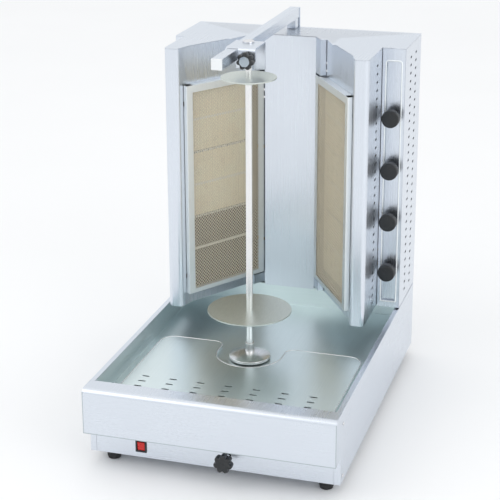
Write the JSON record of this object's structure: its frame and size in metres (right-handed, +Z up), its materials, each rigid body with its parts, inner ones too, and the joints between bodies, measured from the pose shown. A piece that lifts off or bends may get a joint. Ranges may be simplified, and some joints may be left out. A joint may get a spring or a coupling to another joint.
{
  "type": "vertical rotisserie broiler",
  "caption": "Upright gas broiler: a motor-driven spit with two discs stands in a drip tray between two angled ceramic burner wings, under a steady arm; taps beside it.",
  "frame": {"origin": "on the table, below the middle of the object's overall box", "axes": "+Z up, +Y towards the back where the gas inlet is, +X towards the side with the gas taps"},
  "size_m": [0.585, 0.908, 0.9223],
  "materials": {
    "stainless": "brushed",
    "frame_steel": "satin",
    "dark_steel": "heat-stained",
    "bright_steel": "polished",
    "ceramic": "matt",
    "brass": "machined",
    "black_plastic": "satin",
    "red_plastic": "gloss",
    "white_plastic": "satin",
    "black_rubber": "matt"
  },
  "bodies": {
    "housing": {"base_floor": "stainless", "left_side_panel": "stainless", "right_side_panel": "stainless", "back_panel": "stainless", "front_fascia": "stainless", "plinth_panel": "stainless", "drip_basin": "stainless", "feet": "black_rubber", "left_housing_side": "stainless", "right_housing_side": "stainless", "control_panel": "stainless", "top_cover": "stainless", "rear_deflector": "stainless", "left_wing": "stainless", "right_wing": "stainless", "left_frame": "frame_steel", "right_frame": "frame_steel", "left_mesh": "dark_steel", "right_mesh": "dark_steel", "left_lower_burner": "dark_steel", "left_upper_burner": "dark_steel", "right_lower_burner": "dark_steel", "right_upper_burner": "dark_steel", "left_ceramics": "ceramic", "right_ceramics": "ceramic", "gas_manifold": "brass", "gas_valves": "brass", "gas_inlet": "brass", "supply_pipes": "brass", "power_gland": "black_plastic", "terminal_block": "white_plastic", "carriage_rails": "stainless", "support_arm": "stainless", "arm_end_cap": "white_plastic", "switch_bezel": "black_plastic", "screws": "bright_steel"},
    "drip_plate": {"drip_plate": "stainless"},
    "carriage": {"carriage_plate": "stainless", "gearbox": "dark_steel", "motor": "dark_steel", "carriage_rod": "bright_steel"},
    "carriage_knob": {"carriage_knob": "black_plastic"},
    "spit": {"drive_shaft": "bright_steel", "drive_dome": "bright_steel", "spit_rod": "bright_steel", "lower_disc": "stainless"},
    "upper_disc": {"upper_disc": "stainless"},
    "disc_screw": {"disc_screw": "dark_steel"},
    "clamp": {"clamp_block": "stainless"},
    "clamp_knob": {"clamp_knob": "black_plastic"},
    "pivot_pin": {"pivot_pin": "bright_steel"},
    "switch_rocker": {"switch_rocker": "red_plastic"},
    "tap_1_push": {"tap_stem_1": "bright_steel"},
    "tap_1_knob": {"tap_knob_1": "black_plastic"},
    "tap_2_push": {"tap_stem_2": "bright_steel"},
    "tap_2_knob": {"tap_knob_2": "black_plastic"},
    "tap_3_push": {"tap_stem_3": "bright_steel"},
    "tap_3_knob": {"tap_knob_3": "black_plastic"},
    "tap_4_push": {"tap_stem_4": "bright_steel"},
    "tap_4_knob": {"tap_knob_4": "black_plastic"}
  },
  "joints": [
    {"name": "drip_plate_lift", "type": "slide", "parent": "housing", "child": "drip_plate", "axis": [0, 0, 1], "range_m": [0, 0.08]},
    {"name": "carriage_slide", "type": "slide", "parent": "housing", "child": "carriage", "axis": [0, 1, 0], "range_m": [-0.01, 0.02]},
    {"name": "carriage_knob_turn", "type": "hinge", "parent": "carriage", "child": "carriage_knob", "pos_m": [0.037, -0.443, 0.066], "axis": [0, -1, 0], "range_deg": [0, 180]},
    {"name": "spit_spin", "type": "hinge", "parent": "carriage", "child": "spit", "pos_m": [-0.0175, -0.062, 0.3], "axis": [0, 0, 1], "continuous": true},
    {"name": "upper_disc_slide", "type": "slide", "parent": "spit", "child": "upper_disc", "axis": [0, 0, 1], "range_m": [-0.5, 0.008]},
    {"name": "disc_screw_turn", "type": "hinge", "parent": "upper_disc", "child": "disc_screw", "pos_m": [0.0025, -0.062, 0.828], "axis": [1, 0, 0], "range_deg": [-360, 360]},
    {"name": "clamp_slide", "type": "slide", "parent": "housing", "child": "clamp", "axis": [0, 1, 0], "range_m": [-0.01, 0.02]},
    {"name": "clamp_knob_turn", "type": "hinge", "parent": "clamp", "child": "clamp_knob", "pos_m": [-0.0025, -0.14, 0.891], "axis": [0, -1, 0], "range_deg": [0, 180]},
    {"name": "pivot_pin_lift", "type": "slide", "parent": "clamp", "child": "pivot_pin", "axis": [0, 0, 1], "range_m": [0, 0.02]},
    {"name": "switch_rock", "type": "hinge", "parent": "housing", "child": "switch_rocker", "pos_m": [-0.168, -0.399, 0.059], "axis": [1, 0, 0], "range_deg": [-14, 0]},
    {"name": "tap_1_press", "type": "slide", "parent": "housing", "child": "tap_1_push", "axis": [0, 1, 0], "range_m": [0, 0.004], "stiffness_N_per_m": 600, "springref_m": -0.004},
    {"name": "tap_1_turn", "type": "hinge", "parent": "tap_1_push", "child": "tap_1_knob", "pos_m": [0.261, 0.19, 0.697], "axis": [0, -1, 0], "range_deg": [0, 180]},
    {"name": "tap_2_press", "type": "slide", "parent": "housing", "child": "tap_2_push", "axis": [0, 1, 0], "range_m": [0, 0.004], "stiffness_N_per_m": 600, "springref_m": -0.004},
    {"name": "tap_2_turn", "type": "hinge", "parent": "tap_2_push", "child": "tap_2_knob", "pos_m": [0.261, 0.19, 0.566], "axis": [0, -1, 0], "range_deg": [0, 180]},
    {"name": "tap_3_press", "type": "slide", "parent": "housing", "child": "tap_3_push", "axis": [0, 1, 0], "range_m": [0, 0.004], "stiffness_N_per_m": 600, "springref_m": -0.004},
    {"name": "tap_3_turn", "type": "hinge", "parent": "tap_3_push", "child": "tap_3_knob", "pos_m": [0.261, 0.19, 0.435], "axis": [0, -1, 0], "range_deg": [0, 180]},
    {"name": "tap_4_press", "type": "slide", "parent": "housing", "child": "tap_4_push", "axis": [0, 1, 0], "range_m": [0, 0.004], "stiffness_N_per_m": 600, "springref_m": -0.004},
    {"name": "tap_4_turn", "type": "hinge", "parent": "tap_4_push", "child": "tap_4_knob", "pos_m": [0.261, 0.19, 0.304], "axis": [0, -1, 0], "range_deg": [0, 180]}
  ],
  "couplings": [
    {"joint": "clamp_slide", "follows": "carriage_slide", "ratio": 1}
  ]
}
